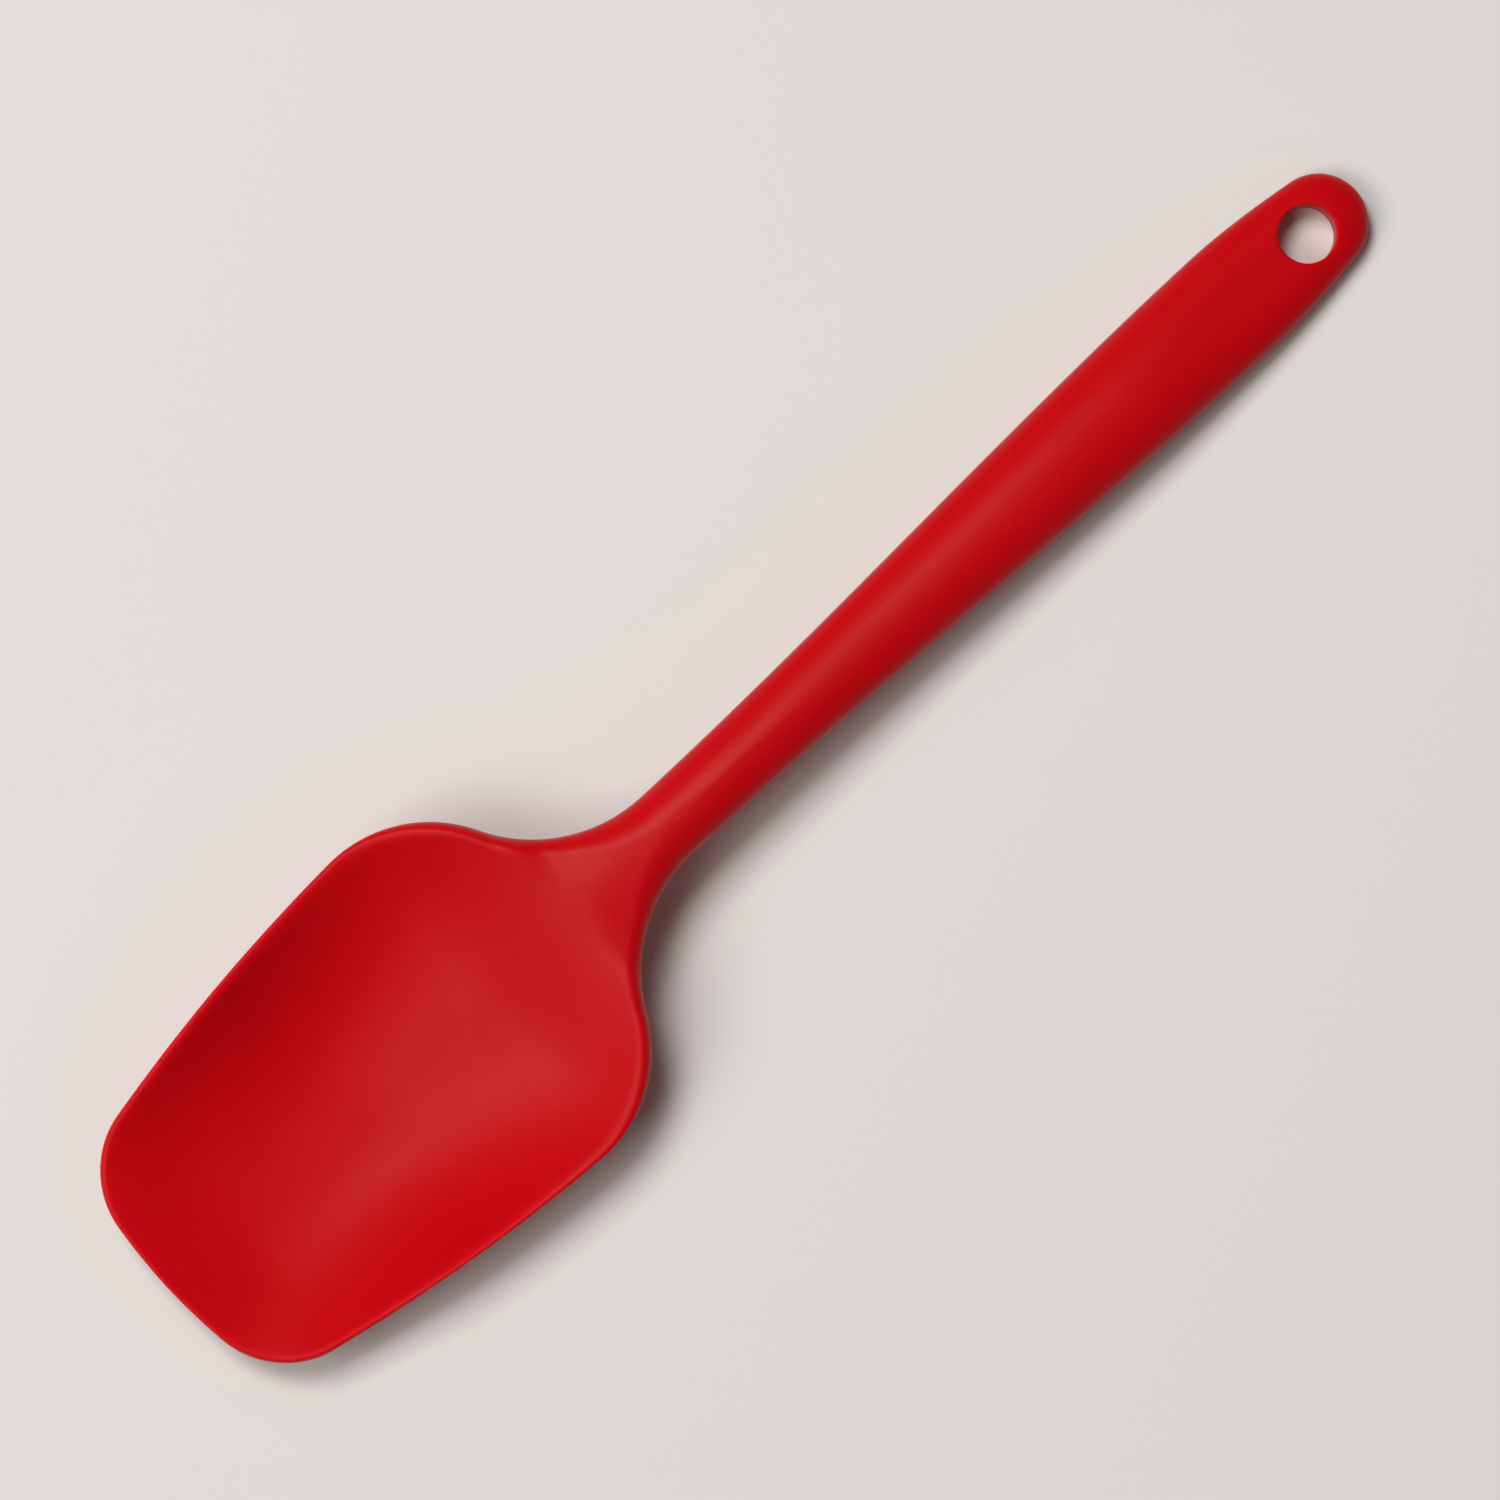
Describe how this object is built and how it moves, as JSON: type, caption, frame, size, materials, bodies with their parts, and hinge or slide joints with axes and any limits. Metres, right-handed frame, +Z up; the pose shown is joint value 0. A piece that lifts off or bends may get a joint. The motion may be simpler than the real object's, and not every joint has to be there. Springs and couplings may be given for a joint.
{
  "type": "spoon spatula",
  "caption": "Seamless red silicone spoon spatula with a shallow square-tipped bowl, a slim neck, an oval handle and a round hanging hole, for stirring, scooping and scraping.",
  "frame": {"origin": "on the table under the middle of the tool's length and width, as it lies with its bowl upwards", "axes": "+X along the tool towards the tip, +Z up out of the bowl's hollow, +Y across the head"},
  "size_m": [0.28, 0.069, 0.021],
  "materials": {
    "silicone": "satin, moulded",
    "nylon": "moulded, hidden inside the silicone"
  },
  "bodies": {
    "root": {"skin_upper": "silicone", "skin_lower": "silicone", "core": "nylon"}
  },
  "joints": []
}
